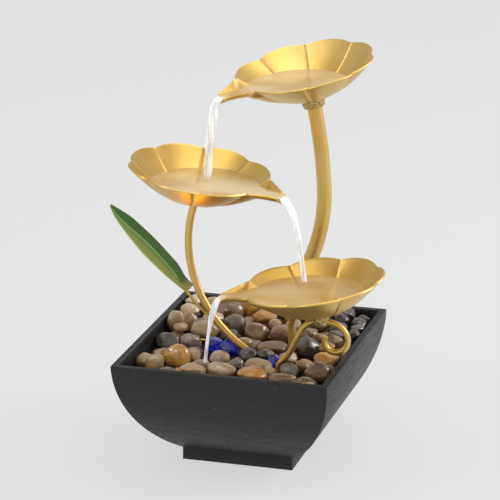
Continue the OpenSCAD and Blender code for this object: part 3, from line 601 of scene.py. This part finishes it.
def wet_stone(name, first, second, third, fleck):
    made, tone, shader = finish(name, Specular_IOR_Level=0.55, Coat_Weight=0.85,
                                Coat_Roughness=0.10)
    tint = tone.node("Attribute", {"attribute_name": "tint"}, out=2)
    patch = tone.noise(95, 4, 0.6)
    bands = tone.noise(60, 3, 0.5, (1, 1, 3.2), shift=(0.3, 0.1, 0.2))
    mineral = tone.noise(900, 3, 0.65)
    pits = tone.noise(420, 3, 0.6)
    body = tint.ramp(0.15, 0.85).mix(first, second)
    body = (patch.ramp(0.42, 0.66) * 0.75).mix(body, third)
    body = (bands.ramp(0.52, 0.60) * 0.30).mix(body, second)
    body = (mineral.ramp(0.56, 0.70) * 0.55).mix(body, fleck)
    body = (pits.ramp(0.62, 0.72) * 0.5).mix(body, tuple(0.3 * c for c in first))
    # painted shade: pebbles towards the back right corner are darkened nearly to black, as if in the
    # corner's shadow
    deep = tone.node("Attribute", {"attribute_name": "deep"}, out=2)
    body = (deep * 0.86).mix(body, (0.018, 0.016, 0.014))
    feed(shader, Base_Color=body, Roughness=0.24 + 0.35 * mineral,
         Normal=bump(tone, mineral * 0.4 + patch * 0.3 - pits.ramp(0.6, 0.72) * 0.5, 0.30, 0.0005))
    return made


STONES = {
    "stones_tan": ((0.40, 0.27, 0.12), (0.50, 0.35, 0.18),
                   (0.25, 0.15, 0.06), (0.62, 0.49, 0.31)),
    "stones_brown": ((0.20, 0.115, 0.052), (0.31, 0.185, 0.085),
                     (0.10, 0.055, 0.026), (0.42, 0.29, 0.16)),
    "stones_grey": ((0.17, 0.135, 0.105), (0.27, 0.22, 0.165),
                    (0.09, 0.07, 0.052), (0.36, 0.30, 0.23)),
    "stones_amber": ((0.52, 0.23, 0.045), (0.66, 0.35, 0.08),
                     (0.24, 0.075, 0.015), (0.74, 0.50, 0.20)),
    "stones_dark": ((0.060, 0.050, 0.042), (0.105, 0.085, 0.068),
                    (0.026, 0.022, 0.019), (0.21, 0.175, 0.14)),
    "stones_pale": ((0.50, 0.37, 0.22), (0.62, 0.49, 0.33),
                    (0.34, 0.22, 0.11), (0.76, 0.66, 0.50)),
}
for node, colours in STONES.items():
    heap = pile(node + "_heap", node)
    settle(heap, "fountain", wet_stone("wet_" + node, *colours), node, angle=180, slot=node)

# ---- Blue glass ----
# Three tumbled lumps of royal-blue glass among the pebbles, with softened broken faces and a faint
# painted glow inside them that stands in for light scattered in the glass.
blue, tone, shader = finish("royal_blue_glass", Transmission_Weight=0.35, IOR=1.5,
                            Coat_Weight=1.0, Coat_Roughness=0.03)
depth = tone.noise(160, 3, 0.6)
chips = tone.node("TexVoronoi", None, {"Vector": tone.node("TexCoord", out=3), "Scale": 150.0})
feed(shader,
     Base_Color=depth.ramp(0.35, 0.65).mix((0.006, 0.010, 0.16), (0.05, 0.07, 0.80)),
     Roughness=0.06 + 0.12 * depth,
     Emission_Color=depth.ramp(0.4, 0.7).mix((0.0, 0.0, 0.04), (0.01, 0.03, 0.5)),
     Normal=bump(tone, chips + depth * 0.2, 0.6, 0.0022))
# painted glow: the glass gives off a little blue light of its own, brightest in its lighter patches
shader.inputs["Emission Strength"].default_value = 0.25
settle(pile("blue_glass_heap", "stones_blue_glass", 2.6, 10, 1.34), "fountain", blue,
       "stones_blue_glass", angle=28, slot="stones_blue_glass")

# ---- Water ----
# The fountain is running: still dark water between the pebbles, a shallow pool in each dish whose
# pale colour is a painted reflection of the room, and three falling streams.
bpy.ops.object.select_all(action="DESELECT")
bpy.ops.mesh.primitive_grid_add(x_subdivisions=60, y_subdivisions=66, size=2)
tarn = bpy.context.object
tarn.name = "basin_water"
for v in tarn.data.vertices:
    v.co = Vector((v.co.x * 66.0, v.co.y * 72.6, 66.0 + 0.25 * noise.noise(v.co * 7))) * MM
dark_water, tone, shader = finish("dark_water", Roughness=0.03, IOR=1.33, Specular_IOR_Level=0.6)
swell = tone.noise(90, 2, 0.5)
feed(shader,
     Base_Color=swell.mix((0.010, 0.010, 0.010), (0.03, 0.026, 0.022)),
     Alpha=0.62 + 0.2 * swell,
     Normal=bump(tone, swell, 0.4, 0.001))
settle(tarn, "fountain", dark_water, angle=180)


def pool(name, dish, lip, slope):
    """A water surface that fills a dish to a plane just under its spout's edges."""
    def plane(u):
        return lip + (u - LEAF_R - REACH) * math.tan(math.radians(slope))

    def reach(a):
        if abs(a) <= HALF_LOBE:
            root = dish_point(a, 1)
            return math.hypot(root[0], root[1])
        s = 0.1
        while s < 0.995 and dish_point(a, s)[2] < plane(dish_point(a, s)[0]):
            s += 0.004
        u, v, _ = dish_point(a, s)
        return math.hypot(u, v)

    steps = 144
    edge = [reach(wrapped(360 / steps * k)) for k in range(steps + 1)]

    def over_bowl(x, y):
        k = min(int(x * steps + 0.5), steps)
        a, r = math.radians(360 / steps * k), edge[k] * max(y, 0.01)
        return r * math.cos(a), r * math.sin(a), plane(r * math.cos(a))

    def over_spout(x, y):
        f, t = 2 * x - 1, y
        wide = 0.98
        while wide > 0.1 and spout_point(wide, t)[2] > plane(spout_point(wide, t)[0]):
            wide -= 0.01
        u, v, _ = spout_point(f * wide, t)
        return u, v, plane(u) + 0.1 * (1 - f * f)

    sheet = joined(name, shaped_grid(name + "_bowl", steps, 20, over_bowl),
                   shaped_grid(name + "_spout", 24, 20, over_spout), weld=0.00002)
    sheet.data.transform(Matrix.Scale(MM, 4) @ pose_of(dish) @ Matrix.Scale(1 / MM, 4))
    return sheet


def pool_water(name, splash):
    made, tone, shader = finish(name, Specular_IOR_Level=0.7, IOR=1.33)
    slow = tone.noise(13, 2, 0.45, (1, 1.5, 1))
    ripple = tone.noise(300, 3, 0.6)
    spot = tone.node("TexCoord", out=3)
    away = tone.node("VectorMath", {"operation": "DISTANCE"},
                     {0: spot, 1: tuple(c * MM for c in splash)}, out=1)
    near = 1 - away.ramp(0.003, 0.016)
    rings = tone.node("Math", {"operation": "SINE"}, {0: away * 2600 + ripple * 2.5})
    # painted reflection: pale patches of the room are painted into the pool's beige-gold colour
    painted_room_reflection = slow.ramp(0.36, 0.62)
    feed(shader,
         Base_Color=(painted_room_reflection * 0.8).mix((0.74, 0.50, 0.17), (0.84, 0.66, 0.42)),
         Roughness=0.06 + 0.10 * near * ripple,
         Alpha=0.52 + 0.30 * painted_room_reflection - 0.22 * near,
         Normal=bump(tone, slow * 0.3 + near * (ripple * 1.6 + rings * 0.25), 0.45, 0.0006))
    return made


POOLS = {
    "leaf_top": (-1.3, 8.5, (27, 45, 238)),
    "leaf_middle": (-1.3, 6.5, (-36, 4, 181)),
    "leaf_bottom": (-1.3, 5.5, (42, -16, 119)),
}
for dish, (lip, slope, splash) in POOLS.items():
    settle(pool(dish + "_pool", dish, lip, slope), "fountain",
           pool_water(dish + "_pool_water", splash), angle=180)


def stream(name, knots, seed):
    """A falling ribbon through (x, y, z, half width, half thickness) knots, turned by degrees."""
    rows, steps, around = [], 10, 16
    for i in range(len(knots) - 1):
        before = knots[max(i - 1, 0)]
        a, b = knots[i], knots[i + 1]
        after = knots[min(i + 2, len(knots) - 1)]
        for k in range(steps):
            t = k / steps
            rows.append([0.5 * (2 * q + (r - p) * t + (2 * p - 5 * q + 4 * r - s) * t * t
                                + (3 * q - p - 3 * r + s) * t**3)
                         for p, q, r, s in zip(before, a, b, after)])
    rows.append(list(knots[-1]))
    spots, faces = [], []
    for i, row in enumerate(rows):
        x, y, z, wide, thin, turn = row
        face = Vector((math.cos(math.radians(turn)), math.sin(math.radians(turn)), 0))
        back = Vector((-face.y, face.x, 0))
        for k in range(around):
            a = 2 * math.pi * k / around
            spot = Vector((math.cos(a) * 1.2 + seed, math.sin(a) * 1.2, i * 0.13))
            sway = 1 + 0.22 * noise.noise(spot)
            spots.append((Vector((x, y, z)) + face * wide * math.cos(a) * sway
                          + back * thin * math.sin(a) * sway) * MM)
    for i in range(len(rows) - 1):
        for k in range(around):
            a, b = i * around + k, i * around + (k + 1) % around
            faces.append((a, b, b + around, a + around))
    faces.append(tuple(range(around))[::-1])
    faces.append(tuple(range(len(spots) - around, len(spots))))
    mesh = bpy.data.meshes.new(name)
    mesh.from_pydata(spots, [], faces)
    fall = bpy.data.objects.new(name, mesh)
    bpy.context.scene.collection.objects.link(fall)
    only(fall)
    bpy.ops.object.mode_set(mode="EDIT")
    bpy.ops.mesh.select_all(action="SELECT")
    bpy.ops.mesh.normals_make_consistent(inside=False)
    bpy.ops.object.mode_set(mode="OBJECT")
    return fall


# The streams give off a little white light of their own along their threads, a painted highlight.
falling, tone, shader = finish("falling_water", Roughness=0.06, IOR=1.33,
                               Transmission_Weight=0.25, Specular_IOR_Level=0.8,
                               Emission_Strength=0.22)
threads_and_glints = tone.noise(420, 3, 0.55, (1, 1, 0.09))
froth = tone.noise(900, 2, 0.5, (1, 1, 0.4))
feed(shader,
     Base_Color=threads_and_glints.ramp(0.40, 0.62).mix((0.86, 0.89, 0.92), (1.0, 1.0, 1.0)),
     Emission_Color=threads_and_glints.ramp(0.42, 0.58).mix((0.35, 0.37, 0.39), (1.0, 1.0, 1.0)),
     Alpha=0.60 + 0.38 * threads_and_glints.ramp(0.34, 0.56),
     Normal=bump(tone, threads_and_glints + froth * 0.3, 0.5, 0.0008))

SPOUT_TIP = Vector((61.5, 0, -2.4))
# from each dish's spout tip: dx, dy, dz, half width, half thickness, turn in degrees
STREAMS = {
    "stream_top": ("leaf_top", [
        (2.5, 1.5, 0.6, 4.2, 1.2, -40), (-1.5, -0.8, -1.2, 4.2, 1.4, -40),
        (-4.2, -1.2, -9, 3.6, 1.8, -20), (-6.4, -0.6, -22, 3.1, 2.0, 0),
        (-8.6, 0.6, -40, 2.6, 1.8, 10), (-9.6, 1.6, -56, 2.6, 1.8, 10)]),
    "stream_middle": ("leaf_middle", [
        (-2.5, 0.3, 0.6, 4.0, 1.1, 75), (1.5, -0.2, -1.2, 4.0, 1.3, 70),
        (6.0, -0.4, -8, 2.8, 1.4, 45), (9.5, 0.0, -20, 1.9, 1.4, 20),
        (12.0, 1.0, -36, 1.6, 1.3, 10), (14.5, 2.0, -56, 1.8, 1.3, 10)]),
    "stream_bottom": ("leaf_bottom", [
        (2.5, 0.6, 0.6, 4.0, 1.2, -70), (-1.5, -0.3, -1.4, 4.2, 1.6, -65),
        (-4.2, -0.5, -8, 2.9, 1.7, -40), (-7.0, -0.2, -19, 1.5, 1.3, -10),
        (-9.2, 0.2, -32, 1.1, 1.0, 0), (-10.8, 0.6, -47, 1.3, 1.1, 0)]),
}
for seed, (name, (dish, knots)) in enumerate(STREAMS.items(), start=1):
    tip = pose_of(dish) @ SPOUT_TIP
    path = [(tip.x + dx, tip.y + dy, tip.z + dz, *rest) for dx, dy, dz, *rest in knots]
    settle(stream(name, path, float(seed)), "fountain", falling, angle=180)

# ---- Pump, hose, tray, light and small parts ----
# Bought-in parts under the pebbles: a black ABS pump on rubber cups with a clear vinyl hose, a
# drilled tray that carries the pebbles, a dark strap that ties the stems, and a small potted
# light with a warm lens, whose glow falls on the underside of the middle dish.
def moulded(name, colour, rough, **fixed):
    made, tone, shader = finish(name, **fixed)
    spark = tone.noise(1500, 2, 0.5)
    handled = tone.noise(45, 3, 0.6)
    feed(shader,
         Base_Color=(handled * 0.6 + spark * 0.2).mix(tuple(0.7 * c for c in colour),
                                                      tuple(min(1.0, 1.3 * c) for c in colour)),
         Roughness=rough + 0.15 * handled,
         Normal=bump(tone, spark, 0.2, 0.0002))
    return made


black_abs = moulded("black_abs", (0.035, 0.035, 0.037), 0.42)
rubber = moulded("black_rubber", (0.022, 0.022, 0.022), 0.65)
dial_grey = moulded("dial_grey", (0.12, 0.12, 0.125), 0.40)
magnet = moulded("ferrite_white_impeller", (0.55, 0.56, 0.58), 0.35)
polished = moulded("polished_shaft", (0.70, 0.71, 0.73), 0.16, Metallic=1.0)
vinyl = moulded("clear_vinyl", (0.80, 0.84, 0.84), 0.12, Alpha=0.5)
lens = moulded("warm_lens", (1.0, 0.72, 0.30), 0.10, Emission_Color=(1.0, 0.62, 0.18, 1),
               Emission_Strength=2.0)
strap = moulded("blackened_strap", (0.05, 0.042, 0.03), 0.45, Metallic=0.8)
SMALL = {
    "brace": strap, "stone_tray": black_abs, "pump_housing": black_abs, "pump_cover": black_abs,
    "lamp_housing": black_abs, "cord_grommet": rubber, "foot_pads": rubber, "pump_cups": rubber,
    "pump_gland": rubber, "lamp_lead": rubber, "flow_dial": dial_grey, "pump_rotor": magnet,
    "pump_shaft": polished, "hose": vinyl, "lamp_lens": lens,
}
for node, material in SMALL.items():
    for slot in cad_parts[node].material_slots:
        slot.material = material

glow = bpy.data.lights.new("lamp_glow", "SPOT")
glow.energy = 0.11
glow.color = (1.0, 0.42, 0.03)
glow.spot_size = math.radians(46)
glow.spot_blend = 1.0
glow.shadow_soft_size = 0.007
glow_at = bpy.data.objects.new("lamp_glow", glow)
bpy.context.scene.collection.objects.link(glow_at)
glow_at.location = (-0.050, -0.020, 0.090)
glow_aim = Vector((-0.031, -0.024, 0.172))
glow_at.rotation_euler = (glow_aim - glow_at.location).to_track_quat("-Z", "Y").to_euler()
